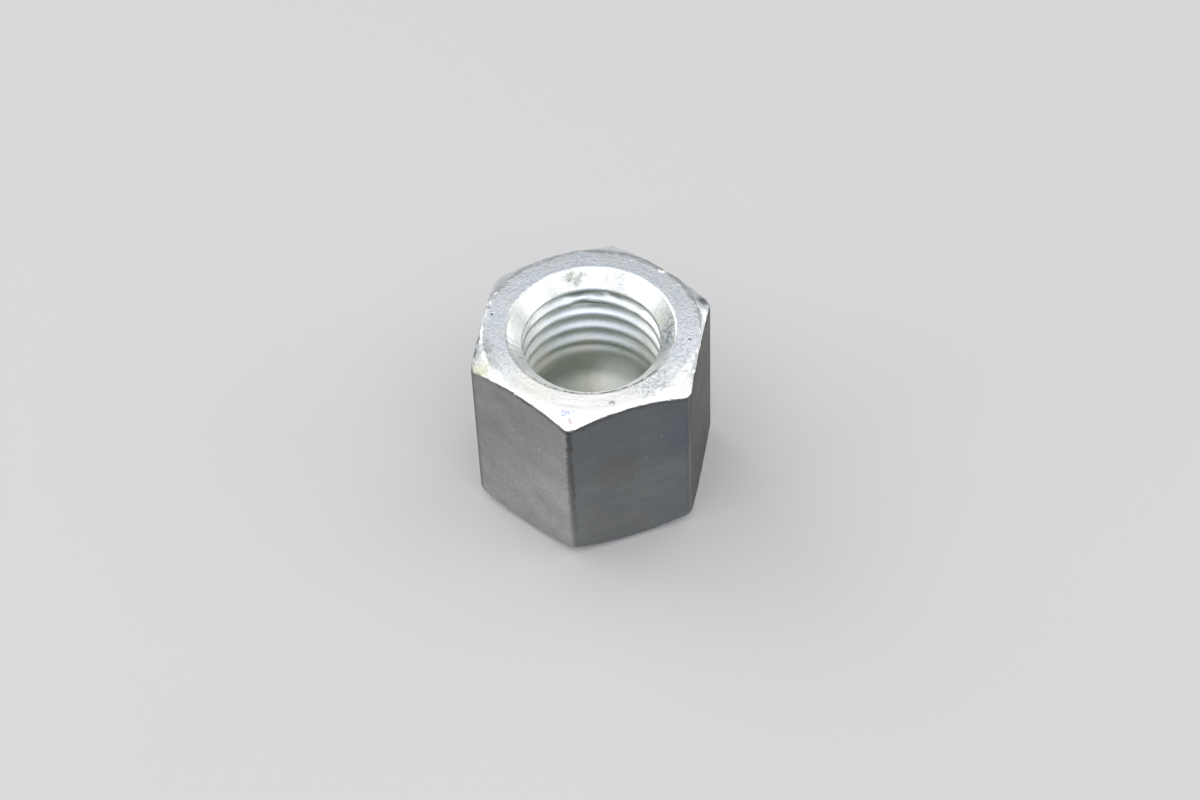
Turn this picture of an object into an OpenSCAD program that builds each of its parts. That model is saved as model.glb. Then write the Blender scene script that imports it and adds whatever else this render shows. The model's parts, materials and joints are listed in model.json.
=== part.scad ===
// Closed cap nut: a tall plain hexagon with a flat closed end and a blind
// threaded hole that opens upward. Forged, drilled, tapped and zinc plated
// in one piece.
// Millimetres. +Z points out of the hole, and the origin is the centre of
// the closed end, on which the nut stands.

/* [Hexagon] */
// Width across the flats
flats_w = 17; // [16:0.25:20]
// Height from the closed end to the bearing face
nut_h = 15.7; // [14.7:0.1:20]
// Radius of the six upright corners
corner_r = 0.9; // [0.3:0.1:2]

/* [Bearing face] */
// Diameter of the flat ring round the hole
ring_d = 16.8; // [14.5:0.1:17]
// Slope of the chamfer that cuts the corners below the ring, in degrees
ring_slope = 31; // [15:1:45]

/* [Closed end] */
// Diameter of the flat that the nut stands on
foot_d = 15; // [12:0.1:17]
// Slope of the chamfer round that flat, in degrees
foot_slope = 24; // [10:1:45]

/* [Thread] */
// Nominal diameter of the thread
thread_d = 12; // [8:0.5:12.5]
// Distance from one thread crest to the next
pitch = 1.5; // [0.75:0.25:2]
// Play that the tapped hole has across its crests
crest_play = 0.18; // [0:0.02:0.3]

/* [Hole] */
// Width of the countersink past the thread, on each side
sink_over = 0.5; // [0.1:0.05:0.6]
// Full angle of the countersink, in degrees
sink_angle = 90; // [60:5:120]
// Radius that rounds the rim of the countersink
rim_r = 0.6; // [0.1:0.05:0.8]
// Depth at which the straight wall of the hole ends
wall_depth = 10.7; // [8:0.1:10.8]
// Full angle of the drill's point, in degrees
drill_angle = 120; // [110:2:160]

/* [Hidden] */

// Smoothness of the round surfaces
$fn = 96;
// Number of straight steps in each rounded corner and in the rim
corner_steps = 6;
rim_steps = 6;
// Extra length that lets one shape cut cleanly through another
past = 1;

// Height of a sharp 60 degree thread of this pitch, and the radius left
// at the crests after five eighths of that height is cut away on each side
sharp_h = pitch * sqrt(3) / 2;
crest_r = thread_d / 2 - 5 / 8 * sharp_h + crest_play / 2;

// Distances from the axis to the flats, to the centres of the rounded
// corners and to the tips of those corners
flat_r = flats_w / 2;
corner_at = (flat_r - corner_r) / cos(30);
tip_r = corner_at + corner_r;

// The end chamfers run from the flats' rings out past the tips
ring_r = ring_d / 2;
foot_r = foot_d / 2;
blank_r = tip_r + past;

// Countersink: sharp radius where its cone would meet the bearing face,
// slope of the cone, and the tangent length of the arc that rounds the rim
sink_r = thread_d / 2 + sink_over;
sink_slope = 90 - sink_angle / 2;
rim_run = rim_r * tan(sink_slope / 2);
sink_depth = (sink_r - crest_r) * tan(sink_slope);

// Drill point below the straight wall
point_depth = crest_r / tan(drill_angle / 2);

// Points of an arc round a centre, from one angle to another
function arc(centre, r, from, to, steps) = [
    for (i = [0 : steps])
        let (a = from + (to - from) * i / steps)
        centre + r * [cos(a), sin(a)]
];

// Outline of the hexagon, with an arc of 60 degrees at each corner
function hexagon_outline() = [
    for (k = [0 : 5])
        let (turn = 60 * k)
        each arc(corner_at * [cos(turn), sin(turn)], corner_r,
                 turn - 30, turn + 30, corner_steps)
];

// Half section of the turned blank, which has a chamfer at each end
function blank_profile() = [
    [0, 0],
    [foot_r, 0],
    [blank_r, (blank_r - foot_r) * tan(foot_slope)],
    [blank_r, nut_h - (blank_r - ring_r) * tan(ring_slope)],
    [ring_r, nut_h],
    [0, nut_h]
];

// Half section of the hole: drill point, straight wall, countersink, and
// the rounded rim that runs out level with the bearing face
function hole_profile() = concat(
    [
        [0, nut_h - wall_depth - point_depth],
        [crest_r, nut_h - wall_depth],
        [crest_r, nut_h - sink_depth]
    ],
    arc([sink_r + rim_run, nut_h - rim_r], rim_r,
        90 + sink_slope, 90, rim_steps),
    [
        [sink_r + rim_run, nut_h + past],
        [0, nut_h + past]
    ]
);

module hexagon_prism() {
    linear_extrude(nut_h)
        polygon(hexagon_outline());
}

module turned_blank() {
    rotate_extrude()
        polygon(blank_profile());
}

module hole() {
    rotate_extrude()
        polygon(hole_profile());
}

module cap_nut() {
    color("silver")
        difference() {
            intersection() {
                hexagon_prism();
                turned_blank();
            }
            hole();
        }
}

cap_nut();
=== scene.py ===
"""A closed cap nut: a tall plain hexagon in zinc plated steel, standing on
its flat closed end, with a blind threaded hole that opens upward.

The nut is one piece, so it is one mesh. Its outside and the plain parts of
its hole are a lathe section whose radius follows the hexagon. The threaded
wall is a geometry nodes tree. Both share the same columns round the axis.
Sizes are in millimetres until a mesh is made.
"""
import json

from math import cos, pi, radians, sin, sqrt, tan

import bmesh
import bpy
from mathutils import Matrix, Vector, noise


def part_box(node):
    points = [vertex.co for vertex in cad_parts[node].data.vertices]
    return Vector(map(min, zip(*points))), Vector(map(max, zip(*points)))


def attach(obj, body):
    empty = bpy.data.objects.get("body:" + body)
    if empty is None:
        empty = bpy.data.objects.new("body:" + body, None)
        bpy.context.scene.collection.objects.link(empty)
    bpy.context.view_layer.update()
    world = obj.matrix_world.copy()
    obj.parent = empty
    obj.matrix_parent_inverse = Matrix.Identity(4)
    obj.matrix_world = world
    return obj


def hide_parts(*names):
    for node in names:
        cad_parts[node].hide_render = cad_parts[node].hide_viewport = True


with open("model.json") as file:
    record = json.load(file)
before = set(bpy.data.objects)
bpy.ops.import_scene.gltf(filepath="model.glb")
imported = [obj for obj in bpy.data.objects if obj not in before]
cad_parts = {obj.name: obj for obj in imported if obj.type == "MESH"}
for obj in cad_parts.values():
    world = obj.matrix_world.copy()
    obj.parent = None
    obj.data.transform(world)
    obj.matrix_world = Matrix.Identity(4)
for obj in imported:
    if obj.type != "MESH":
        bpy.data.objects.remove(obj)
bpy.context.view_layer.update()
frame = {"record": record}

# One millimetre in metres
MM = 0.001

# ------------------------------------------------------------------ sizes
LOW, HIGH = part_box("cap_nut")
HEIGHT = (HIGH.z - LOW.z) / MM
FLAT_R = (HIGH.y - LOW.y) / 2 / MM
TIP_R = (HIGH.x - LOW.x) / 2 / MM

# The corner radius follows from how far the rounded tips stand out
CORNER_R = (FLAT_R / cos(pi / 6) - TIP_R) / (1 / cos(pi / 6) - 1)
CORNER_AT = (FLAT_R - CORNER_R) / cos(pi / 6)
CORNER_HALF = CORNER_R / 2 / (CORNER_AT + CORNER_R * cos(pi / 6))

# The hole's straight wall is the thread mount's: its crests and its ends
THREAD = next(m for m in frame["record"]["mounts"] if m["name"] == "thread")
CREST_R = THREAD["dims"]["r_mm"]
WALL_MIDDLE = HEIGHT - THREAD["pos_m"][2] / MM
SINK_DEPTH = WALL_MIDDLE - THREAD["dims"]["length_mm"] / 2
WALL_DEPTH = WALL_MIDDLE + THREAD["dims"]["length_mm"] / 2

# M12 x 1.5 thread: the bottoms of its grooves, and the share of a turn
# that it has made where the columns start
PITCH = 1.5
ROOT_R = 6.04
ROOT_FLAT = 0.19
THREAD_START = 0.10

# Depths below the face: the grooves begin, are full after the run-in, die
# away over the run-out, and are gone
THREAD_TOP = 1.1
RUN_IN = 0.8
RUN_OUT = 2.4
THREAD_DEPTH = 9.0

# The faced ring, which falls a little outward, and the chamfer below it
RING_R = 8.4
RING_FALL = 0.05
RING_SLOPE = radians(31)

# The flat of the closed end and the chamfer round it
FOOT_R = 7.5
FOOT_SLOPE = radians(24)

# The countersink and its rounded rim
SINK_SLOPE = radians(45)
SINK_R = CREST_R + SINK_DEPTH / tan(SINK_SLOPE)
RIM_R = 0.35
RIM_DEPTH = RIM_R * (1 - cos(SINK_SLOPE))
MOUTH_R = SINK_R - RIM_DEPTH / tan(SINK_SLOPE)

# The drill point and the soft corner above it
DRILL_HALF = radians(60)
FLOOR_R = 1.3
TIP_Z = HEIGHT - WALL_DEPTH - CREST_R / tan(DRILL_HALF)

# Columns of the mesh, closer together at the corners, and rows per turn
COLUMNS = 384
CROWDING = 0.55
TURN_ROWS = 20

# The half section's corners from the foot up to the rim: how round each
# one is, the steps of its arc, and how many points the straight before it
# has and how far they crowd towards its ends
ROUNDINGS = (
    (0.25, 4, 6, 0),
    (0.12, 4, 4, 0),
    (0.12, 6, 26, 0.8),
    (0.5, 6, 8, 0),
    (RIM_R, 8, 12, 0),
)

# Wear of the outer edges: the corner of the half section, the way in, how
# far from the edge it reaches, and how rough it is
EDGE_WEAR = (
    (2, Vector((-0.84, 0.54)), 0.35, 0.03),
    (3, Vector((-0.87, -0.49)), 0.35, 0.05),
    (4, Vector((-0.27, -0.96)), 0.3, 0.035),
)
NICK_DEPTH = 0.16
WAVE_DEPTH = 0.006

# Points nearer than this are joined, in metres
JOIN = 2e-7


# ------------------------------------------------------------------ outside
def column_angle(i):
    """Angle of a column; the steps are shortest at the corners."""
    even = 2 * pi * i / COLUMNS
    return even - CROWDING / 6 * sin(6 * even)


def hexagon_radius(angle):
    """Distance from the axis to the side of the nut in this direction."""
    off = abs((angle + pi / 6) % (pi / 3) - pi / 6)
    if tan(off) > CORNER_HALF:
        return FLAT_R / cos(pi / 6 - off)
    across = CORNER_AT * sin(off)
    return CORNER_AT * cos(off) + sqrt(CORNER_R ** 2 - across ** 2)


def rounded(before, corner, after, radius, steps):
    """Points of the arc that rounds one corner of a section."""
    back = (before - corner).normalized()
    ahead = (after - corner).normalized()
    half = back.angle(ahead) / 2
    room = 0.45 * min((before - corner).length, (after - corner).length)
    run = min(radius / tan(half), room)
    centre = corner + (back + ahead).normalized() * run / cos(half)
    first = corner + back * run - centre
    last = corner + ahead * run - centre
    size = first.length
    first.normalize()
    last.normalize()
    return [centre + first.slerp(last, k / steps) * size
            for k in range(steps + 1)]


def between(start, end, count, crowd=0.0):
    """Points along a straight stretch, without its ends. They crowd
    towards both ends by the given share."""
    shares = [(k + 1) / (count + 1) for k in range(count)]
    return [start.lerp(end, t - crowd * sin(2 * pi * t) / (2 * pi))
            for t in shares]


def outer_corners(angle):
    """Sharp corners of the half section at this angle."""
    side = hexagon_radius(angle)
    return [
        Vector((0, 0)),
        Vector((FOOT_R, 0)),
        Vector((side, (side - FOOT_R) * tan(FOOT_SLOPE))),
        Vector((side, HEIGHT - RING_FALL
                - (side - RING_R) * tan(RING_SLOPE))),
        Vector((RING_R, HEIGHT - RING_FALL)),
        Vector((SINK_R, HEIGHT)),
        Vector((CREST_R, HEIGHT - SINK_DEPTH)),
    ]


def outer_section(angle):
    """Half section at this angle, from the middle of the foot, up the side
    and over the ring to the start of the countersink."""
    corners = outer_corners(angle)
    points = [corners[0]]
    for k, (radius, steps, count, crowd) in enumerate(ROUNDINGS):
        arc = rounded(*corners[k:k + 3], radius, steps)
        points += between(points[-1], arc[0], count, crowd)
        points += arc
    points = [worn(point, angle, corners) for point in points[:-1]]
    return points + [Vector((MOUTH_R, HEIGHT - RIM_DEPTH))]


def worn(point, angle, corners):
    """Moves a point of the outside inward by the wear it has there: small
    ripples and a few nicks along the edges, and a slight waviness."""
    spot = Vector((point.x * cos(angle), point.x * sin(angle), point.y))
    ripple = max(0.0, 0.6 + noise.noise(spot * 2.4)
                 + 0.7 * noise.noise(spot * 6.0))
    nick = max(0.0, noise.noise(spot * 1.3 + Vector((3, 7, 5))) - 0.28)
    wave = 1 + noise.noise(spot * 0.4)
    moved = point.copy()
    if point.y > corners[2].y:
        moved.x -= WAVE_DEPTH * wave * min(1.0, point.x / FLAT_R)
    for k, inward, reach, rough in EDGE_WEAR:
        near = max(0.0, 1 - (point - corners[k]).length / reach)
        moved += inward * near * (rough * ripple + NICK_DEPTH * nick)
    return moved


def tail_section(_):
    """Half section below the thread, the same at every angle: the plain
    wall and the drill point."""
    start = Vector((CREST_R, HEIGHT - THREAD_DEPTH))
    foot = Vector((CREST_R, HEIGHT - WALL_DEPTH))
    tip = Vector((0, TIP_Z))
    arc = rounded(start, foot, tip, FLOOR_R, 12)
    return ([start] + between(start, arc[0], 4) + arc
            + between(arc[-1], tip, 8) + [tip])


def lathe(mesh, section_at):
    """Adds a turned sheet to a bmesh, one section for each column."""
    rows = []
    for i in range(COLUMNS):
        angle = column_angle(i)
        rows.append([
            mesh.verts.new((p.x * cos(angle) * MM, p.x * sin(angle) * MM,
                            p.y * MM))
            for p in section_at(angle)
        ])
    for here, there in zip(rows, rows[1:] + rows[:1]):
        for j in range(len(here) - 1):
            mesh.faces.new((here[j], there[j], there[j + 1], here[j + 1]))


# ------------------------------------------------------------------ nodes
class Nodes:
    """Adds nodes to one tree. A value given to an input is either another
    node's output, which is linked, or a plain number, colour or vector."""

    def __init__(self, tree):
        self.tree = tree

    def add(self, kind, values=None, **settings):
        """A new node, with its settings and the values of its inputs."""
        node = self.tree.nodes.new(kind)
        for name, setting in settings.items():
            setattr(node, name, setting)
        for name, value in (values or {}).items():
            self.give(node.inputs[name], value)
        return node

    def give(self, socket, value):
        """Links or sets one input. A colour may leave out its alpha."""
        if isinstance(value, bpy.types.NodeSocket):
            self.tree.links.new(value, socket)
        elif socket.type == "RGBA" and len(value) == 3:
            socket.default_value = (*value, 1)
        else:
            socket.default_value = value

    def maths(self, operation, *values, clamp=False):
        """The result of a sum on plain values."""
        node = self.add("ShaderNodeMath", dict(enumerate(values)),
                        operation=operation, use_clamp=clamp)
        return node.outputs[0]

    def product(self, first, *others):
        """All the values multiplied."""
        for other in others:
            first = self.maths("MULTIPLY", first, other)
        return first

    def vector(self, operation, *values, out=0):
        """The result of a sum on vectors; out 1 is its plain value."""
        node = self.add("ShaderNodeVectorMath", dict(enumerate(values)),
                        operation=operation)
        return node.outputs[out]

    def blend(self, amount, first, second, kind="MIX"):
        """Mixes two colours."""
        node = self.add("ShaderNodeMix", data_type="RGBA", blend_type=kind)
        for k, value in ((0, amount), (6, first), (7, second)):
            self.give(node.inputs[k], value)
        return node.outputs[2]

    def spread(self, value, low, high, to_low=0.0, to_high=1.0,
               smooth=False):
        """Maps a stretch of values onto another, held at its ends."""
        node = self.add(
            "ShaderNodeMapRange",
            {"Value": value, "From Min": low, "From Max": high,
             "To Min": to_low, "To Max": to_high},
            interpolation_type="SMOOTHSTEP" if smooth else "LINEAR")
        return node.outputs[0]


def sockets(tree, side, kind, names):
    """Names inputs or outputs of a node group that are of one kind."""
    for name in names:
        tree.interface.new_socket(name, in_out=side,
                                  socket_type="NodeSocket" + kind)


def noise_of(nodes, place, scale, detail=2.0, roughness=0.5):
    """One noise value, from 0 to 1."""
    node = nodes.add("ShaderNodeTexNoise", {
        "Vector": place, "Scale": scale, "Detail": detail,
        "Roughness": roughness})
    return node.outputs[0]


def stray_of(nodes, place, scale):
    """Fine noise that strays as far below zero as above it."""
    return nodes.maths("SUBTRACT",
                       noise_of(nodes, place, scale, 3.0, 0.65), 0.5)


def parts_of(nodes, place):
    """The X, Y and Z of a point."""
    return nodes.add("ShaderNodeSeparateXYZ", {"Vector": place}).outputs


def axis_distance(nodes, place):
    """Distance of a point from the nut's axis."""
    level = nodes.vector("MULTIPLY", place, (1, 1, 0))
    return nodes.vector("LENGTH", level, out=1)


# ------------------------------------------------------------------ thread
# Places where the tap wandered: angle, depth below the face, and how many
# turns it was off there
KINKS = {
    "First kink": (1.02, 1.4, 0.08),
    "Dip": (0.86, 1.5, -0.06),
    "Bulge": (1.38, 2.6, 0.15),
}

THREAD_SIZES = {
    "Crest radius": CREST_R,
    "Root radius": ROOT_R,
    "Root flat": ROOT_FLAT,
    "Pitch": PITCH,
    "Start": THREAD_START,
    "Crest blend": 0.7,
    "Root blend": 0.16,
    "Wander": 0.6,
    "Top": THREAD_TOP,
    "Run in": RUN_IN,
    "Run out": RUN_OUT,
    "Face height": HEIGHT,
    "Mouth height": HEIGHT - RIM_DEPTH,
    "End height": HEIGHT - THREAD_DEPTH,
    "Sink radius": SINK_R,
    "Sink slope": SINK_SLOPE,
    "Crowding": CROWDING,
}

THREAD_COUNTS = {"Columns": COLUMNS, "Turn rows": TURN_ROWS}


def thread_grid(nodes, size):
    """A flat grid, and the angle and the turn that each of its points
    stands for. One more turn than the wall is high makes it reach past
    both ends all round."""
    maths = nodes.maths
    wall = maths("SUBTRACT", size["Mouth height"], size["End height"])
    turns = maths("ADD", maths("DIVIDE", wall, size["Pitch"]), 1)
    rows = maths("CEIL", maths("MULTIPLY", turns, size["Turn rows"]))
    grid = nodes.add("GeometryNodeMeshGrid", {
        "Size X": 1, "Size Y": 1,
        "Vertices X": maths("ADD", size["Columns"], 1),
        "Vertices Y": maths("ADD", rows, 1)})
    place = parts_of(nodes,
                     nodes.add("GeometryNodeInputPosition").outputs[0])
    even = maths("MULTIPLY", maths("ADD", place["X"], 0.5), 2 * pi)
    sway = maths("SINE", maths("MULTIPLY", even, 6))
    angle = maths("SUBTRACT", even, maths(
        "MULTIPLY", maths("DIVIDE", size["Crowding"], 6), sway))
    row = maths("MULTIPLY", maths("ADD", place["Y"], 0.5), rows)
    return grid, angle, maths("DIVIDE", row, size["Turn rows"])


def kink_lift(nodes, kink, angle, depth):
    """How far one kink moves the thread, in turns. It dies out over 1.3
    times its lift in angle, and within 1 mm above and below."""
    at_angle, at_depth, lift = parts_of(nodes, kink)
    aside = nodes.maths("ABSOLUTE", nodes.maths("SUBTRACT", angle, at_angle))
    apart = nodes.maths("ABSOLUTE", nodes.maths("SUBTRACT", depth, at_depth))
    reach = nodes.maths("MULTIPLY", nodes.maths("ABSOLUTE", lift), 1.3)
    return nodes.product(
        nodes.spread(aside, 0.0, reach, 1.0, 0.0, smooth=True),
        nodes.spread(apart, 0.3, 1.0, 1.0, 0.0, smooth=True), lift)


def thread_phase(nodes, size, angle, turn, climb, height, depth):
    """Which place of the thread's profile a point is on, in turns. The
    tap's first turns wander, and settle 3 mm further down."""
    around = nodes.add("ShaderNodeCombineXYZ", {
        "X": nodes.maths("COSINE", angle), "Y": nodes.maths("SINE", angle),
        "Z": nodes.maths("MULTIPLY", climb, -1)})
    stray = nodes.maths("SUBTRACT", noise_of(
        nodes, around.outputs[0], 2.4, 1.5), 0.5)
    below = nodes.maths("SUBTRACT", size["Mouth height"], height)
    fresh = nodes.spread(below, 0.0, 3.0, 1.0, 0.08)
    phase = nodes.maths("ADD", nodes.maths("ADD", turn, size["Start"]),
                        nodes.product(stray, fresh, size["Wander"]))
    for kink in KINKS:
        phase = nodes.maths("ADD", phase,
                            kink_lift(nodes, size[kink], angle, depth))
    return phase


def groove_share(nodes, size, phase, deep):
    """How deep the 60 degree groove is here, as a share of the whole."""
    maths = nodes.maths
    off = maths("MULTIPLY", size["Pitch"], maths("ABSOLUTE", maths(
        "SUBTRACT", maths("FRACT", phase), 0.5)))
    flank = maths("MULTIPLY", deep, tan(radians(30)))
    half = maths("ADD", maths("DIVIDE", size["Root flat"], 2), flank)
    groove = maths("DIVIDE", maths("SUBTRACT", half, off), flank)
    groove = maths("SMOOTH_MAX", groove, 0, size["Crest blend"])
    return maths("SMOOTH_MIN", groove, 1, size["Root blend"])


def groove_fade(nodes, size, height, depth):
    """The grooves deepen below the mouth, and run out above the end."""
    run_out = nodes.spread(
        nodes.maths("SUBTRACT", height, size["End height"]),
        0, size["Run out"], smooth=True)
    full = nodes.maths("ADD", size["Top"], size["Run in"])
    run_in = nodes.spread(depth, size["Top"], full, smooth=True)
    return nodes.maths("MULTIPLY", run_out, run_in)


def thread_tree():
    """A threaded wall below a countersink. A flat grid is bent round the
    axis. Its rows climb with the thread, so each one stays on one place of
    the thread's profile, and all are held between the mouth and the end."""
    tree = bpy.data.node_groups.new("threaded_wall", "GeometryNodeTree")
    sockets(tree, "OUTPUT", "Geometry", ["Geometry"])
    sockets(tree, "INPUT", "Float", THREAD_SIZES)
    sockets(tree, "INPUT", "Int", THREAD_COUNTS)
    sockets(tree, "INPUT", "Vector", KINKS)
    sockets(tree, "INPUT", "Material", ["Finish"])
    nodes = Nodes(tree)
    maths = nodes.maths
    size = tree.nodes.new("NodeGroupInput").outputs

    grid, angle, turn = thread_grid(nodes, size)
    climb = maths("SUBTRACT", maths("DIVIDE", angle, 2 * pi), turn)
    height = maths("ADD", size["Mouth height"],
                   maths("MULTIPLY", climb, size["Pitch"]))
    height = maths("MAXIMUM", size["End height"],
                   maths("MINIMUM", size["Mouth height"], height))
    depth = maths("SUBTRACT", size["Face height"], height)

    phase = thread_phase(nodes, size, angle, turn, climb, height, depth)
    deep = maths("SUBTRACT", size["Root radius"], size["Crest radius"])
    cut = nodes.product(groove_share(nodes, size, phase, deep),
                        groove_fade(nodes, size, height, depth), deep)
    threaded = maths("ADD", size["Crest radius"], cut)
    sunk = maths("SUBTRACT", size["Sink radius"], maths(
        "DIVIDE", depth, maths("TANGENT", size["Sink slope"])))
    radius = maths("SMOOTH_MAX", threaded, sunk, 0.1)

    bent = nodes.add("ShaderNodeCombineXYZ", {
        "X": maths("MULTIPLY", radius, maths("COSINE", angle)),
        "Y": maths("MULTIPLY", radius, maths("SINE", angle)),
        "Z": height})
    moved = nodes.add("GeometryNodeSetPosition", {
        "Geometry": grid.outputs["Mesh"],
        "Position": nodes.vector("MULTIPLY", bent.outputs[0],
                                 (MM, MM, MM))})
    real = nodes.add("GeometryNodeRealizeInstances",
                     {"Geometry": moved.outputs[0]})
    done = nodes.add("GeometryNodeSetMaterial", {
        "Geometry": real.outputs[0], "Material": size["Finish"]})
    nodes.add("NodeGroupOutput", {"Geometry": done.outputs[0]})
    return tree


def thread_mesh(finish):
    """The threaded wall as a plain mesh."""
    tree = thread_tree()
    values = {**THREAD_SIZES, **THREAD_COUNTS, **KINKS, "Finish": finish}
    holder = bpy.data.objects.new(
        "thread_holder", bpy.data.meshes.new("thread_holder"))
    bpy.context.scene.collection.objects.link(holder)
    modifier = holder.modifiers.new("thread", "NODES")
    modifier.node_group = tree
    for item in tree.interface.items_tree:
        if item.name in values:
            modifier[item.identifier] = values[item.name]
    bpy.context.view_layer.update()
    graph = bpy.context.evaluated_depsgraph_get()
    mesh = bpy.data.meshes.new_from_object(holder.evaluated_get(graph))
    bpy.data.objects.remove(holder)
    return mesh


# ------------------------------------------------------------------ finishes
def added(nodes, *parts):
    """Sum of values, each given with its weight."""
    total = 0.0
    for value, weight in parts:
        total = nodes.maths("MULTIPLY_ADD", value, weight, total)
    return total


def crystals_effect(nodes, given):
    """The grain of the plating: dark pinpoints that crowd together in soft
    patches, and a finer relief between them."""
    place = given["Place"]
    patch = nodes.spread(noise_of(nodes, place, given["Patches"],
                                  3.0, 0.6), 0.32, 0.68)
    fine = noise_of(nodes, place, given["Dots"], 2.0, 0.6)
    speck = nodes.spread(added(nodes, (fine, 1.0), (patch, 0.22)),
                         0.56, 0.74)
    grain = noise_of(nodes, place, nodes.maths(
        "MULTIPLY", given["Dots"], 1.7), 2.0, 0.6)
    return {"Speck": speck, "Patch": patch, "Grain": grain}


def tool_rings_effect(nodes, given):
    """Fine uneven rings that the cutting tool leaves round the axis."""
    place, fineness = given["Place"], given["Fineness"]
    drift = noise_of(nodes, place, 260.0, 1.0)
    tread = nodes.add("ShaderNodeCombineXYZ", {
        "X": nodes.maths("MULTIPLY", axis_distance(nodes, place), fineness),
        "Y": nodes.maths("MULTIPLY", parts_of(nodes, place)["Z"], fineness),
        "Z": nodes.maths("MULTIPLY", drift, 4.0)})
    rings = noise_of(nodes, tread.outputs[0], 1.0, 3.0, 0.6)
    return {"Height": nodes.spread(rings, 0.3, 0.7)}


def pits_effect(nodes, given):
    """Sparse small dents with uneven outlines."""
    wobble = nodes.add("ShaderNodeTexNoise", {
        "Vector": given["Place"], "Scale": 5000.0, "Detail": 1.0})
    push = nodes.vector("SUBTRACT", wobble.outputs["Color"],
                        (0.5, 0.5, 0.5))
    bent = nodes.vector("ADD", given["Place"], nodes.vector(
        "MULTIPLY", push, (0.00022, 0.00022, 0.00022)))
    cells = nodes.add("ShaderNodeTexVoronoi", {
        "Vector": bent, "Scale": given["Density"], "Randomness": 1.0})
    lot = nodes.add("ShaderNodeSeparateColor",
                    {"Color": cells.outputs["Color"]})
    chosen = nodes.maths("LESS_THAN", lot.outputs[0], given["Share"])
    width = nodes.maths("MULTIPLY", given["Size"], nodes.spread(
        lot.outputs[1], 0, 1, 0.4, 1.0))
    near = nodes.maths("DIVIDE", cells.outputs["Distance"], nodes.maths(
        "MULTIPLY", width, given["Density"]))
    dent = nodes.spread(near, 0.5, 1.0, 1.0, 0.0, smooth=True)
    return {"Mask": nodes.maths("MULTIPLY", dent, chosen)}


def scratches_effect(nodes, given):
    """Thin short scratches lying mostly one way."""
    way = nodes.add("ShaderNodeMapping", {
        "Vector": given["Place"], "Rotation": given["Turn"]})
    long = nodes.vector("MULTIPLY", way.outputs[0], (0.06, 1.0, 1.0))
    line = noise_of(nodes, long, given["Fineness"], 1.0)
    ridge = nodes.maths("ABSOLUTE", nodes.maths("SUBTRACT", line, 0.5))
    thin = nodes.spread(ridge, 0.0, 0.012, 1.0, 0.0, smooth=True)
    patches = noise_of(nodes, given["Place"], 700.0, 1.0)
    least = nodes.maths("SUBTRACT", 0.75, nodes.maths(
        "MULTIPLY", given["Share"], 0.4))
    where = nodes.spread(nodes.maths("SUBTRACT", patches, least),
                         0.0, 0.05)
    return {"Mask": nodes.maths("MULTIPLY", thin, where)}


def stain_effect(nodes, given):
    """A blotch round one place, ragged at its edge and, where asked,
    broken into dots."""
    place = given["Place"]
    away = nodes.vector("DISTANCE", place, given["Middle"], out=1)
    edge = nodes.maths("ADD", nodes.maths("DIVIDE", away, given["Reach"]),
                       nodes.maths("MULTIPLY", stray_of(
                           nodes, place, 2600.0), given["Ragged"]))
    whole = nodes.spread(edge, 0.35, 1.0, 1.0, 0.0, smooth=True)
    dots = nodes.spread(noise_of(nodes, place, 4200.0, 1.0), 0.46, 0.58)
    gaps = nodes.maths("MULTIPLY", given["Dotted"],
                       nodes.maths("SUBTRACT", 1.0, dots))
    mask = nodes.maths("MULTIPLY", whole,
                       nodes.maths("SUBTRACT", 1.0, gaps))
    return {"Mask": mask}


def axis_reach_effect(nodes, given):
    """Distance from the axis, a little uneven."""
    place = given["Place"]
    return {"Reach": nodes.maths(
        "MULTIPLY_ADD", stray_of(nodes, place, 2000.0), given["Stray"],
        axis_distance(nodes, place))}


def chatter_effect(nodes, given):
    """Short radial marks from a countersink that shook in the cut."""
    level = nodes.vector("MULTIPLY", given["Place"], (1, 1, 0.25))
    around = nodes.vector("NORMALIZE", level)
    stripes = noise_of(nodes, around, given["Fineness"], 2.0, 0.6)
    broken = noise_of(nodes, given["Place"], 2400.0, 2.0, 0.6)
    mask = nodes.spread(added(nodes, (stripes, 1.0), (broken, 0.5)),
                        0.70, 0.86)
    return {"Mask": mask}


def corner_line_effect(nodes, given):
    """How near a point is to an upright corner of the hexagon."""
    place = given["Place"]
    part = parts_of(nodes, place)
    angle = nodes.maths("ARCTAN2", part["Y"], part["X"])
    off = nodes.maths("PINGPONG", angle, pi / 6)
    off = added(nodes, (off, TIP_R * MM),
                (stray_of(nodes, place, 2400.0), 0.0006))
    near = nodes.maths("DIVIDE", off, given["Width"])
    return {"Mask": nodes.spread(near, 0.2, 1.0, 1.0, 0.0, smooth=True)}


def flat_side_effect(nodes, given):
    """Picks out the flat that faces one way."""
    out = nodes.vector("DOT_PRODUCT", given["Place"], given["Way"], out=1)
    return {"Mask": nodes.spread(
        out, (FLAT_R - 0.14) * MM, (FLAT_R - 0.03) * MM)}


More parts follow.
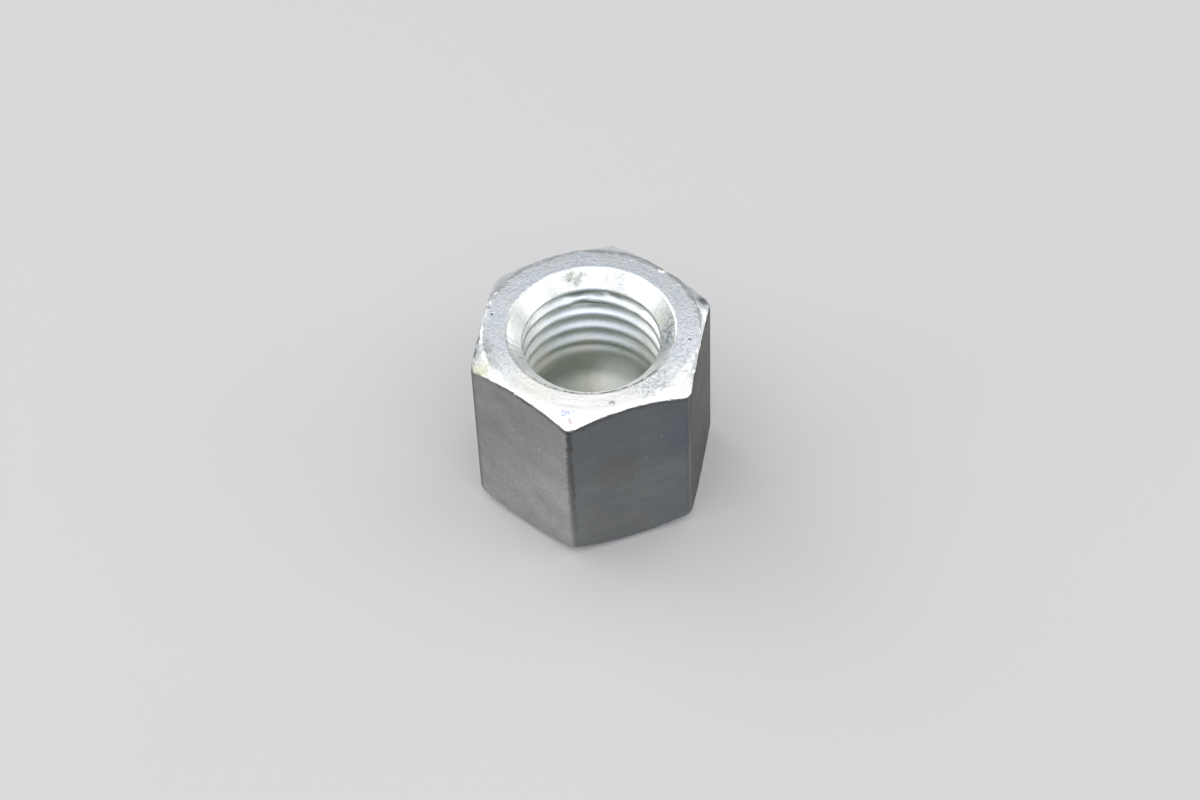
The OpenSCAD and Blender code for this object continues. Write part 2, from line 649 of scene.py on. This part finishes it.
def edge_line_effect(nodes, given):
    """A ragged line of painted shade just below the edge that the ring's
    chamfer cuts on the flats, and loose bright bits along it."""
    place = given["Place"]
    out = nodes.maths("SUBTRACT", axis_distance(nodes, place), RING_R * MM)
    edge = nodes.maths("SUBTRACT", (HEIGHT - RING_FALL) * MM,
                       nodes.maths("MULTIPLY", out, tan(RING_SLOPE)))
    below = nodes.maths("SUBTRACT", edge, parts_of(nodes, place)["Z"])
    broken = nodes.spread(noise_of(nodes, place, 800.0, 2.0),
                          0.35, 0.6, 0.35, 1.0)
    ragged = added(nodes, (stray_of(nodes, place, 3200.0), 0.0011),
                   (below, 1.0))
    line = nodes.spread(nodes.maths("DIVIDE", ragged, given["Width"]),
                        0.4, 1.0, 1.0, 0.0, smooth=True)
    bits = nodes.spread(noise_of(nodes, place, 2600.0, 2.0, 0.6),
                        0.62, 0.68)
    close = nodes.spread(below, 0.0001, 0.0005, 1.0, 0.0)
    return {
        "Line": nodes.maths("MULTIPLY", line, broken),
        "Bits": nodes.maths("MULTIPLY", bits, close)}


def streaks_effect(nodes, given):
    """Soft blotches and finer streaks that lie round the nut."""
    fineness = given["Fineness"]
    lying = nodes.vector("MULTIPLY", given["Place"], (0.6, 0.6, 1.0))
    drawn = nodes.vector("MULTIPLY", given["Place"], (0.3, 0.3, 1.0))
    apart = nodes.vector("ADD", lying, (0.1, 0.2, 0.3))
    broad = noise_of(nodes, lying, fineness, 3.0, 0.55)
    fine = noise_of(nodes, drawn, nodes.maths("MULTIPLY", fineness, 5.0),
                    2.0, 0.6)
    hue = noise_of(nodes, apart, nodes.maths("MULTIPLY", fineness, 0.7),
                   2.0)
    return {
        "Broad": nodes.spread(broad, 0.33, 0.67),
        "Fine": nodes.spread(fine, 0.33, 0.67),
        "Hue": nodes.spread(hue, 0.35, 0.65)}


# Inputs of the effects that are vectors
VECTORS = ("Place", "Turn", "Middle", "Way")


def effect(name, inputs, results_of):
    """A node group that materials share, built by the function that gives
    its results. These, and most of its inputs, are plain values."""
    tree = bpy.data.node_groups.new(name, "ShaderNodeTree")
    for key in inputs:
        kind = "Vector" if key in VECTORS else "Float"
        sockets(tree, "INPUT", kind, [key])
    nodes = Nodes(tree)
    given = tree.nodes.new("NodeGroupInput").outputs
    results = results_of(nodes, given)
    sockets(tree, "OUTPUT", "Float", results)
    nodes.add("NodeGroupOutput", results)
    return tree


EFFECTS = {
    "crystals": effect(
        "zinc_crystals", ["Place", "Dots", "Patches"], crystals_effect),
    "tool rings": effect(
        "tool_rings", ["Place", "Fineness"], tool_rings_effect),
    "pits": effect(
        "pits", ["Place", "Density", "Size", "Share"], pits_effect),
    "scratches": effect(
        "scratches", ["Place", "Turn", "Fineness", "Share"],
        scratches_effect),
    "stain": effect(
        "stain", ["Place", "Middle", "Reach", "Ragged", "Dotted"],
        stain_effect),
    "axis reach": effect(
        "axis_reach", ["Place", "Stray"], axis_reach_effect),
    "chatter": effect(
        "chatter", ["Place", "Fineness"], chatter_effect),
    "corner line": effect(
        "corner_line", ["Place", "Width"], corner_line_effect),
    "flat side": effect(
        "flat_side", ["Place", "Way"], flat_side_effect),
    "edge line": effect(
        "edge_line", ["Place", "Width"], edge_line_effect),
    "streaks": effect(
        "streaks", ["Place", "Fineness"], streaks_effect),
}


def use(nodes, name, values):
    """Places one shared effect in a material."""
    node = nodes.add("ShaderNodeGroup", node_tree=EFFECTS[name])
    for key, value in values.items():
        nodes.give(node.inputs[key], value)
    return node.outputs


def start_metal(name):
    """An empty metal material, its nodes and the point it colours."""
    material = bpy.data.materials.new(name)
    material.use_nodes = True
    material.node_tree.nodes.clear()
    nodes = Nodes(material.node_tree)
    place = nodes.add("ShaderNodeTexCoord").outputs["Object"]
    return material, nodes, place


def end_metal(nodes, colour, roughness, relief, depth, edge=1.0):
    """Joins colour, roughness and relief into the metal surface. The depth
    of the relief is in metres, and the edge is how much the metal reflects
    when seen at a low angle."""
    bump = nodes.add("ShaderNodeBump", {
        "Height": relief, "Strength": 1.0, "Distance": depth})
    shader = nodes.add("ShaderNodeBsdfPrincipled", {
        "Base Color": colour, "Metallic": 1.0, "Roughness": roughness,
        "Specular Tint": (edge, edge, edge),
        "Normal": bump.outputs[0]})
    nodes.add("ShaderNodeOutputMaterial", {"Surface": shader.outputs[0]})


def tinted(nodes, colour, mask, amount, tint):
    """The colour, with as much of a tint as a mask and an amount give."""
    return nodes.blend(nodes.maths("MULTIPLY", mask, amount), colour, tint)


def from_depth(nodes, high, start, end):
    """Goes from 0 to 1 between two depths below the face, in mm."""
    return nodes.spread(high, (HEIGHT - start) * MM, (HEIGHT - end) * MM)


def stain_mask(nodes, place, middle, reach, ragged, dotted=0.0):
    """How much of a blotch lies on a point. The blotch's middle is given
    across the nut and below its face, and its reach is in mm too."""
    x, y, depth = middle
    return use(nodes, "stain", {
        "Place": place, "Middle": Vector((x, y, HEIGHT - depth)) * MM,
        "Reach": reach * MM, "Ragged": ragged, "Dotted": dotted})["Mask"]


# Regions that a tone or an effect keeps to: the middle across the nut and
# below its face, the reach, and how ragged the edge is
REGIONS = {
    "painted highlight on the front of the ring": ((-3.4, -8.4, 0), 10.5, 0.5),
    "nick in the ring with a painted glint": ((7.29, 3.94, 0), 0.4, 0.8),
    "front corner": ((-5.4, -9.4, 5.5), 11.0, 0.2),
    "corner to its right": ((5.6, -8.0, 12.5), 12.0, 0.2),
    "rear wall": ((1.9, 5.7, 4.4), 5.8, 0.3),
    "first turn": ((2.3, 5.4, 1.6), 2.6, 0.3),
    "left of the sink": ((-6.2, 1.0, 0.4), 3.5, 0.5),
    "right of the sink": ((6.2, -2.0, 0.4), 4.5, 0.5),
    "near rim": ((-2.0, -6.2, 0.1), 8.5, 0.4),
}


def region(nodes, place, name):
    """How much of a point lies in one of the regions."""
    mask = stain_mask(nodes, place, *REGIONS[name])
    mask.node.label = name
    return mask


def marked(nodes, place, colour, marks):
    """The colour with marks on it. Each has its middle, its reach, its
    tint and amount, how ragged it is and how far it breaks into dots."""
    for name, (middle, reach, tint, amount, *edge) in marks.items():
        mask = stain_mask(nodes, place, middle, reach, *edge)
        mask.node.label = name
        colour = tinted(nodes, colour, mask, amount, tint)
    return colour


# ------------------------------------------------------------------ ring
RING_MARKS = {
    "warm front left":
        ((-5.9, -3.5, 0.0), 2.4, (0.93, 0.915, 0.82), 0.6, 1.2, 0.5),
    "grey left corner":
        ((-9.4, -0.2, 0.5), 2.3, (0.50, 0.505, 0.47), 0.95, 0.6),
    "yellow left corner":
        ((-8.95, -0.4, 0.4), 1.1, (0.40, 0.40, 0.30), 0.85, 1.0, 0.15),
    "shaded left":
        ((-7.7, 1.4, 0.0), 2.8, (0.67, 0.71, 0.75), 0.6, 0.7),
    # Painted dark reflection on the chamfer behind the left corner
    "painted dark reflection behind the left corner":
        ((-8.9, 1.4, 0.35), 1.7, (0.26, 0.28, 0.28), 0.8, 1.6, 0.3),
    "blue specks":
        ((-4.75, -7.15, 0.1), 0.45, (0.16, 0.24, 0.66), 0.7, 1.4, 0.8),
    "fainter blue specks":
        ((-4.3, -7.3, 0.15), 0.35, (0.16, 0.24, 0.66), 0.6, 1.4, 0.8),
    "purple specks":
        ((-4.47, -7.70, 0.36), 0.3, (0.14, 0.12, 0.19), 0.75, 0.9, 0.3),
    "red specks":
        ((-4.39, -7.91, 0.45), 0.3, (0.40, 0.27, 0.31), 0.75, 0.9, 0.3),
    # Painted dark reflection on the rear right corner's chamfer
    "painted dark reflection on the right corner":
        ((9.6, -0.3, 0.6), 1.6, (0.36, 0.38, 0.39), 0.8, 0.5),
    "dark spot in the right corner":
        ((9.2, 0.1, 0.5), 0.6, (0.10, 0.11, 0.13), 0.8, 0.8),
    "dark spot in front":
        ((-1.0, -7.5, 0.0), 0.32, (0.16, 0.18, 0.20), 0.8, 1.4, 0.7),
    "dots in front":
        ((2.4, -6.6, 0.0), 2.2, (0.30, 0.34, 0.40), 0.5, 1.2, 1.0),
}


def ring_ground(nodes, crystal, rings, ring, front):
    """The faced ring inside the chamfers, and a painted highlight that makes
    it paler in front.
    """
    cut = nodes.blend(rings, (0.86, 0.89, 0.92), (0.94, 0.95, 0.95))
    faced = nodes.blend(rings, (0.84, 0.90, 0.955), (0.95, 0.975, 1.0))
    faced = tinted(nodes, faced, crystal["Patch"], 0.4, (0.76, 0.83, 0.91))
    # Painted highlight: the ring turns paler in front
    faced = nodes.blend(front, faced, (0.96, 0.965, 0.95))
    return nodes.blend(ring, cut, faced)


def turned_zinc():
    """The faced ring and the chamfers: bluish, satin and speckled."""
    material, nodes, place = start_metal("turned_zinc")
    crystal = use(nodes, "crystals",
                  {"Place": place, "Dots": 3700.0, "Patches": 700.0})
    rings = use(nodes, "tool rings",
                {"Place": place, "Fineness": 7000.0})["Height"]
    pits = use(nodes, "pits", {"Place": place, "Density": 900.0,
                               "Size": 0.0002, "Share": 0.1})["Mask"]
    scratches = use(nodes, "scratches", {
        "Place": place, "Turn": (0, 0, 0.7), "Fineness": 2200.0,
        "Share": 0.6})["Mask"]
    reach = use(nodes, "axis reach",
                {"Place": place, "Stray": 0.0011})["Reach"]
    ring = nodes.spread(reach, (RING_R - 0.55) * MM,
                        (RING_R + 0.1) * MM, 1.0, 0.15)
    front = region(nodes, place, "painted highlight on the front of the ring")
    nick = region(nodes, place, "nick in the ring with a painted glint")
    # Fewer specks show under the painted highlight in front
    speck = nodes.product(
        crystal["Speck"], ring, nodes.maths("MULTIPLY_ADD", front, -0.65, 1))

    colour = ring_ground(nodes, crystal, rings, ring, front)
    colour = tinted(nodes, colour, speck, 0.45, (0.32, 0.37, 0.43))
    colour = tinted(nodes, colour, pits, 0.8, (0.16, 0.18, 0.20))
    colour = tinted(nodes, colour, scratches, 0.5, (0.95, 0.96, 0.97))
    colour = marked(nodes, place, colour, RING_MARKS)
    # Painted glint: the bumped nick is coloured pale cream
    colour = nodes.blend(nick, colour, (1.0, 0.97, 0.86))
    roughness = nodes.maths("ADD", 0.28, added(
        nodes, (speck, 0.12), (crystal["Patch"], 0.05), (rings, -0.05)))
    relief = added(nodes, (crystal["Grain"], 0.4), (rings, 0.3),
                   (speck, -0.3), (pits, -1.5), (nick, 3.0),
                   (scratches, -0.5))
    end_metal(nodes, colour, roughness, relief, 0.000018)
    return material


# ------------------------------------------------------------------ flats
FLAT_MARKS = {
    "brown stain":
        ((-1.1, -8.5, 6.8), 2.6, (0.15, 0.15, 0.125), 0.4, 1.4),
    "bluish foot":
        ((4.4, -8.5, 12.6), 4.0, (0.19, 0.215, 0.26), 0.4, 0.8),
    "bluish right":
        ((5.0, -8.5, 4.5), 3.6, (0.13, 0.145, 0.19), 0.4, 0.8),
}


def flat_painted_reflections(nodes, place, colour, high):
    """Paints reflected light and shade on three of the flats: the left one
    lighter towards its lower right, the right one darker towards its top, and
    the far one a dark olive. The way each one faces is in degrees."""
    slant = nodes.vector("DOT_PRODUCT", place, (0.3, -0.52, -1.0), out=1)
    left = nodes.blend(nodes.spread(slant, -14 * MM, -2 * MM, smooth=True),
                       (0.395, 0.403, 0.40), (0.585, 0.592, 0.58))
    right = nodes.blend(nodes.spread(high, HEIGHT * MM, 0, smooth=True),
                        (0.138, 0.15, 0.165), (0.25, 0.26, 0.265))
    far = (0.178, 0.179, 0.155)
    for degrees, tone in ((210, left), (270, right), (330, far)):
        way = (cos(radians(degrees)), sin(radians(degrees)), 0)
        side = use(nodes, "flat side", {"Place": place, "Way": way})["Mask"]
        colour = tinted(nodes, colour, side, 0.9, tone)
    return colour


def corner_painted_shade(nodes, place, high, front):
    """Painted shade: a dark line down each upright corner, strongest in front
    and near the ring."""
    line = use(nodes, "corner line", {
        "Place": place, "Width": nodes.spread(
            high, 0, HEIGHT * MM, 0.00055, 0.00032)})["Mask"]
    strength = nodes.maths("MULTIPLY_ADD", front, 0.65, 0.25)
    return nodes.product(line, strength, nodes.spread(
        high, 2 * MM, HEIGHT * MM, 0.4, 1.0))


def corner_painted_highlight(nodes, place):
    """A painted highlight down one corner: the one right of the front flat."""
    line = use(nodes, "corner line",
               {"Place": place, "Width": 0.0006})["Mask"]
    beside = region(nodes, place, "corner to its right")
    flat = use(nodes, "flat side",
               {"Place": place, "Way": (0, -1, 0)})["Mask"]
    return nodes.product(line, beside, nodes.maths(
        "SUBTRACT", 0.8, flat, clamp=True))


def drawn_zinc():
    """The six flats: the drawn bar's own skin, greyer and duller, with painted
    reflections and shade on them.
    """
    material, nodes, place = start_metal("drawn_zinc")
    crystal = use(nodes, "crystals",
                  {"Place": place, "Dots": 4600.0, "Patches": 330.0})
    streaks = use(nodes, "streaks", {"Place": place, "Fineness": 520.0})
    pits = use(nodes, "pits", {"Place": place, "Density": 900.0,
                               "Size": 0.00012, "Share": 0.35})["Mask"]
    edge = use(nodes, "edge line", {"Place": place, "Width": 0.0005})
    high = parts_of(nodes, place)["Z"]
    # Where the painted shade on the flats' top edge and corners is strongest
    front = region(nodes, place, "front corner")

    colour = nodes.blend(crystal["Patch"], (0.34, 0.355, 0.36),
                         (0.40, 0.41, 0.40))
    # Painted reflections: three flats each get a tone of their own
    colour = flat_painted_reflections(nodes, place, colour, high)
    colour = marked(nodes, place, colour, FLAT_MARKS)
    colour = tinted(nodes, colour, streaks["Hue"], 0.12,
                    (0.26, 0.265, 0.235))
    broad = nodes.blend(streaks["Broad"], (0.29, 0.30, 0.32),
                        (0.76, 0.75, 0.72))
    fine = nodes.blend(streaks["Fine"], (0.3, 0.3, 0.3), (0.7, 0.7, 0.7))
    colour = nodes.blend(0.16, colour, broad, "OVERLAY")
    colour = nodes.blend(0.1, colour, fine, "OVERLAY")
    colour = tinted(nodes, colour, crystal["Speck"], 0.25,
                    (0.19, 0.20, 0.22))
    colour = tinted(nodes, colour, pits, 0.8, (0.85, 0.86, 0.88))
    # Painted shade: a dark ragged line under the flats' top edge, strongest in
    # front
    colour = tinted(nodes, colour, edge["Line"], nodes.maths(
        "MULTIPLY_ADD", front, 0.4, 0.4), (0.06, 0.055, 0.05))
    colour = tinted(nodes, colour, edge["Bits"], 0.25, (0.85, 0.83, 0.76))
    # Painted shade down the upright corners
    colour = nodes.blend(corner_painted_shade(nodes, place, high, front), colour,
                         (0.06, 0.058, 0.055))
    # Painted highlight down the corner right of the front flat
    colour = nodes.blend(corner_painted_highlight(nodes, place), colour,
                         (0.36, 0.355, 0.33))
    roughness = nodes.maths("ADD", 0.28, added(
        nodes, (crystal["Patch"], 0.06), (streaks["Broad"], -0.05),
        (streaks["Fine"], 0.03)))
    relief = added(nodes, (crystal["Grain"], 0.6), (streaks["Broad"], 0.5),
                   (streaks["Fine"], 0.2), (pits, 0.8),
                   (edge["Line"], -1.2))
    end_metal(nodes, colour, roughness, relief, 0.0000065, 0.5)
    return material


# ------------------------------------------------------------------ hole
BORE_MARKS = {
    # Painted light on the left wall of the hole
    "painted light on the left wall":
        ((-5.0, 1.8, 5.5), 4.8, (0.95, 0.96, 0.95), 0.6, 0.3),
    # Painted shade low in the hole
    "painted shade on the low wall":
        ((-1.0, 4.6, 11.0), 4.6, (0.46, 0.50, 0.46), 0.6, 0.3),
    "warm low wall":
        ((1.2, 3.6, 11.6), 2.4, (0.84, 0.82, 0.72), 0.5, 0.4),
    # Painted highlight on the right of the hole's floor
    "painted highlight right of the floor":
        ((3.3, 3.4, 11.0), 3.0, (1.0, 1.0, 0.99), 0.8, 0.3),
    "beige below the thread":
        ((1.0, 5.2, 7.7), 1.6, (0.78, 0.69, 0.61), 0.4, 0.5),
    "beige left of that":
        ((-2.2, 4.8, 7.9), 1.5, (0.86, 0.78, 0.70), 0.45, 0.5),
    "greenish stain":
        ((0.6, 6.0, 0.45), 1.1, (0.30, 0.33, 0.26), 0.4, 1.2),
    "left spots in it":
        ((0.35, 6.17, 0.32), 0.5, (0.12, 0.14, 0.10), 0.65, 1.5, 0.4),
    "low spots in it":
        ((0.85, 5.8, 0.62), 0.5, (0.14, 0.16, 0.11), 0.5, 1.5, 0.4),
    "right spots in it":
        ((1.4, 6.0, 0.34), 0.45, (0.20, 0.23, 0.16), 0.5, 1.4, 0.5),
    "chatter on the right":
        ((5.65, -1.7, 0.6), 1.3, (0.16, 0.18, 0.20), 0.6, 1.6, 0.8),
    "chatter in front of that":
        ((5.0, -3.0, 0.66), 1.2, (0.18, 0.20, 0.22), 0.5, 1.6, 0.8),
    "chatter behind that":
        ((6.0, -0.5, 0.5), 0.8, (0.22, 0.25, 0.27), 0.4, 1.6, 0.8),
    "grey left":
        ((-5.15, 2.9, 0.65), 1.5, (0.62, 0.67, 0.65), 0.55, 0.9, 0.15),
    "yellow beside the chatter":
        ((5.5, -0.2, 0.95), 0.7, (0.70, 0.73, 0.54), 0.4, 1.2),
    "faint spot":
        ((3.1, 5.05, 0.55), 0.45, (0.45, 0.45, 0.48), 0.5, 1.3, 0.3),
}


def bore_ground(nodes, crystal, deep):
    """Clean metal at the mouth, and further down a darker, greener colour that
    paints the shade deep in the hole.
    """
    clean = nodes.blend(crystal["Patch"], (0.95, 0.96, 0.94),
                        (0.88, 0.91, 0.90))
    dull = nodes.blend(crystal["Patch"], (0.70, 0.74, 0.69),
                       (0.64, 0.68, 0.63))
    # Painted shade: the colour darkens and greens with depth in the hole
    colour = nodes.blend(nodes.maths("POWER", deep, 2.2), clean, dull)
    return tinted(nodes, colour, crystal["Speck"], 0.2, (0.35, 0.38, 0.36))


def thread_tones_and_shade(nodes, place, colour, high, sink, reach):
    """On the rear wall, the flanks that face up are bluish, and those that
    face down, the first turn below the sink and the bottoms of the grooves get
    a dark green painted shade."""
    rise = parts_of(nodes, nodes.add(
        "ShaderNodeNewGeometry").outputs["Normal"])["Z"]
    rear = region(nodes, place, "rear wall")
    first_turn = region(nodes, place, "first turn")
    upward = nodes.spread(rise, 0.0, 0.45)
    downward = nodes.spread(rise, 0.1, -0.2, 0, 0.6)
    colour = tinted(nodes, colour, rear, upward, (0.75, 0.815, 0.885))
    # Painted shade: dark green on the flanks that face down
    colour = tinted(nodes, colour, rear, downward, (0.45, 0.51, 0.44))
    # Painted shade on the first turn below the sink
    shade_below_sink = nodes.maths("MULTIPLY", first_turn, nodes.spread(
        rise, 0.35, 0.0, 0.0, 0.75))
    colour = tinted(nodes, colour, from_depth(nodes, high, 1.25, 1.4),
                    shade_below_sink, (0.30, 0.36, 0.28))
    # Painted shade in the bottoms of the grooves
    root = nodes.spread(reach, (CREST_R + 0.3) * MM, (CREST_R + 0.55) * MM)
    return tinted(nodes, colour, nodes.maths("MULTIPLY", root, rear),
                  nodes.spread(sink, 1.0, 0.0, 0.0, 0.55),
                  (0.46, 0.52, 0.46))


def chatter_marks(nodes, place, beside, sink):
    """Chatter in the countersink, on its right and its left."""
    mask = use(nodes, "chatter",
               {"Place": place, "Fineness": 26.0})["Mask"]
    facing = region(nodes, place, "left of the sink")
    return nodes.product(mask, sink,
                         nodes.maths("MAXIMUM", beside, facing))


def rim_dashes(nodes, place, reach, near):
    """A broken dark line where the near rim starts."""
    off = nodes.maths("ABSOLUTE", nodes.maths(
        "SUBTRACT", reach, (SINK_R - 0.01) * MM))
    line = nodes.spread(off, 0.00006, 0.00013, 1.0, 0.0)
    return nodes.product(line, near, nodes.spread(
        noise_of(nodes, place, 1700.0, 2.0, 0.6), 0.42, 0.54))


def bore_zinc():
    """The hole: bright at the mouth, rougher further down, with painted shade
    that makes it darker and greener there.
    """
    material, nodes, place = start_metal("bore_zinc")
    crystal = use(nodes, "crystals",
                  {"Place": place, "Dots": 4200.0, "Patches": 600.0})
    reach = use(nodes, "axis reach",
                {"Place": place, "Stray": 0.00035})["Reach"]
    high = parts_of(nodes, place)["Z"]
    deep = from_depth(nodes, high, 1.0, 8.5)
    sink = from_depth(nodes, high, 1.3, 0.9)
    beside = region(nodes, place, "right of the sink")
    near = region(nodes, place, "near rim")
    chatter = chatter_marks(nodes, place, beside, sink)
    dashes = rim_dashes(nodes, place, reach, near)

    colour = bore_ground(nodes, crystal, deep)
    colour = thread_tones_and_shade(nodes, place, colour, high, sink, reach)
    # Painted shade on the right of the countersink
    colour = tinted(nodes, colour, nodes.maths("MULTIPLY", beside, sink),
                    0.1, (0.46, 0.50, 0.54))
    colour = tinted(nodes, colour, chatter, 0.3, (0.30, 0.34, 0.37))
    colour = marked(nodes, place, colour, BORE_MARKS)
    colour = tinted(nodes, colour, dashes, 0.95, (0.08, 0.09, 0.09))
    roughness = added(
        nodes, (nodes.spread(deep, 0.3, 1.0, 0.34, 0.64), 1.0),
        (nodes.spread(sink, 1.0, 0.0, 0.0, 0.08), 1.0),
        (nodes.maths("MULTIPLY", near, sink), 0.4))
    relief = added(nodes, (crystal["Grain"], 0.5), (chatter, -0.6),
                   (crystal["Speck"], -0.3))
    end_metal(nodes, colour, roughness, relief, 0.000012)
    return material


# ------------------------------------------------------------------ nut
def nut_body(finishes):
    """The whole nut as one closed mesh. Its finishes are the ring's, the
    flats' and the hole's."""
    mesh = bmesh.new()
    lathe(mesh, outer_section)
    lathe(mesh, tail_section)
    mesh.from_mesh(thread_mesh(finishes[2]))
    bmesh.ops.remove_doubles(mesh, verts=mesh.verts, dist=JOIN)
    bmesh.ops.recalc_face_normals(mesh, faces=mesh.faces)
    inside = (SINK_R + 0.05) * MM
    lowest = 0.9 * TIP_Z * MM
    steepest = 0.35
    for face in mesh.faces:
        face.smooth = True
        middle = face.calc_center_median()
        in_hole = middle.xy.length < inside and middle.z > lowest
        on_side = abs(face.normal.z) < steepest
        face.material_index = 2 if in_hole else 1 if on_side else 0
    data = bpy.data.meshes.new("cap_nut_body")
    mesh.to_mesh(data)
    mesh.free()
    for finish in finishes:
        data.materials.append(finish)
    return placed("cap_nut_body", data)


# ------------------------------------------------------------------ studio
# The camera and what it looks at, from the middle of the face in mm
CAMERA_PLACE = Vector((-46.842, -147.309, 168.884))
CAMERA_TARGET = Vector((0.283, -0.588, -7.7))
CAMERA_ROLL = radians(-2.5)
CAMERA_LENS = 90
SENSOR_WIDTH = 36
VIEW_ANGLE = radians(72.194)

# Soft lamps round the nut. Their places are as the camera sees them, to
# the right, away and up, and their sizes and levels follow
LAMPS = {
    "rear_left": ((-380, 300, 338), (480, 300), 1.6),
    "rear_right": ((400, 330, 98), (300, 150), 1.75),
    "front": ((20, -290, 393), (560, 240), 1.55),
    "right": ((430, -60, 233), (340, 240), 1.3),
    "left": ((-430, -90, 233), (340, 240), 1.4),
}
LAMP_TARGET_Z = 8
CEILING_PLACE = (-50, 38)
CEILING_Z = 508
CEILING_SIZE = (1100, 800)
WORLD_LEVEL = 0.3

# The floor, whose half width is in metres
FLOOR_HALF = 3.0
FLOOR_COLOUR = (0.56, 0.56, 0.57, 1)
FLOOR_ROUGHNESS = 0.7


def view_place(right, away, up):
    """A point given as the camera sees it: to the right, away and up."""
    return Vector((
        right * sin(VIEW_ANGLE) + away * cos(VIEW_ANGLE),
        -right * cos(VIEW_ANGLE) + away * sin(VIEW_ANGLE),
        up)) * MM


def aim(thing, place, target, roll=0.0):
    """Puts a lamp or camera at a place and points it at a target."""
    turn = (target - place).to_track_quat("-Z", "Y").to_matrix().to_4x4()
    thing.matrix_world = (Matrix.Translation(place) @ turn
                          @ Matrix.Rotation(roll, 4, "Z"))


def placed(name, data):
    """An object of the scene that holds this data."""
    thing = bpy.data.objects.new(name, data)
    bpy.context.scene.collection.objects.link(thing)
    return thing


def camera():
    """Looks down on the nut from the front left."""
    data = bpy.data.cameras.new("camera")
    data.sensor_width = SENSOR_WIDTH
    data.lens = CAMERA_LENS
    data.clip_start = 0.01
    thing = placed("camera", data)
    face = Vector((0, 0, HEIGHT))
    aim(thing, (face + CAMERA_PLACE) * MM, (face + CAMERA_TARGET) * MM,
        CAMERA_ROLL)
    bpy.context.scene.camera = thing


def lamp(name, place, target, size, level):
    """A rectangular soft lamp; its level is how bright its face looks."""
    data = bpy.data.lights.new(name, "AREA")
    data.shape = "RECTANGLE"
    data.size, data.size_y = size[0] * MM, size[1] * MM
    data.energy = level * pi * data.size * data.size_y
    thing = placed(name, data)
    aim(thing, place, target)
    return thing


def lighting():
    """A large soft lamp overhead, smaller ones round it, and an even dim
    world."""
    world = bpy.data.worlds.new("studio")
    bpy.context.scene.world = world
    world.use_nodes = True
    world.node_tree.nodes["Background"].inputs[0].default_value = (
        WORLD_LEVEL, WORLD_LEVEL, WORLD_LEVEL, 1)
    ceiling = lamp("ceiling", view_place(*CEILING_PLACE, CEILING_Z),
                   view_place(*CEILING_PLACE, LAMP_TARGET_Z),
                   CEILING_SIZE, 1.0)
    ceiling.rotation_euler.z = VIEW_ANGLE - pi / 2
    for name, (place, size, level) in LAMPS.items():
        lamp(name, view_place(*place), view_place(0, 0, LAMP_TARGET_Z),
             size, level)


def floor():
    """A pale floor that runs out of sight."""
    mesh = bmesh.new()
    bmesh.ops.create_grid(mesh, x_segments=1, y_segments=1,
                          size=FLOOR_HALF)
    data = bpy.data.meshes.new("floor")
    mesh.to_mesh(data)
    mesh.free()
    material = bpy.data.materials.new("pale_floor")
    material.use_nodes = True
    shader = material.node_tree.nodes["Principled BSDF"]
    shader.inputs["Base Color"].default_value = FLOOR_COLOUR
    shader.inputs["Roughness"].default_value = FLOOR_ROUGHNESS
    data.materials.append(material)
    return placed("floor", data)


nut = nut_body([turned_zinc(), drawn_zinc(), bore_zinc()])
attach(nut, "root")
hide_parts("cap_nut")

camera()
lighting()
ground = floor()
bpy.context.scene.view_settings.view_transform = "Standard"
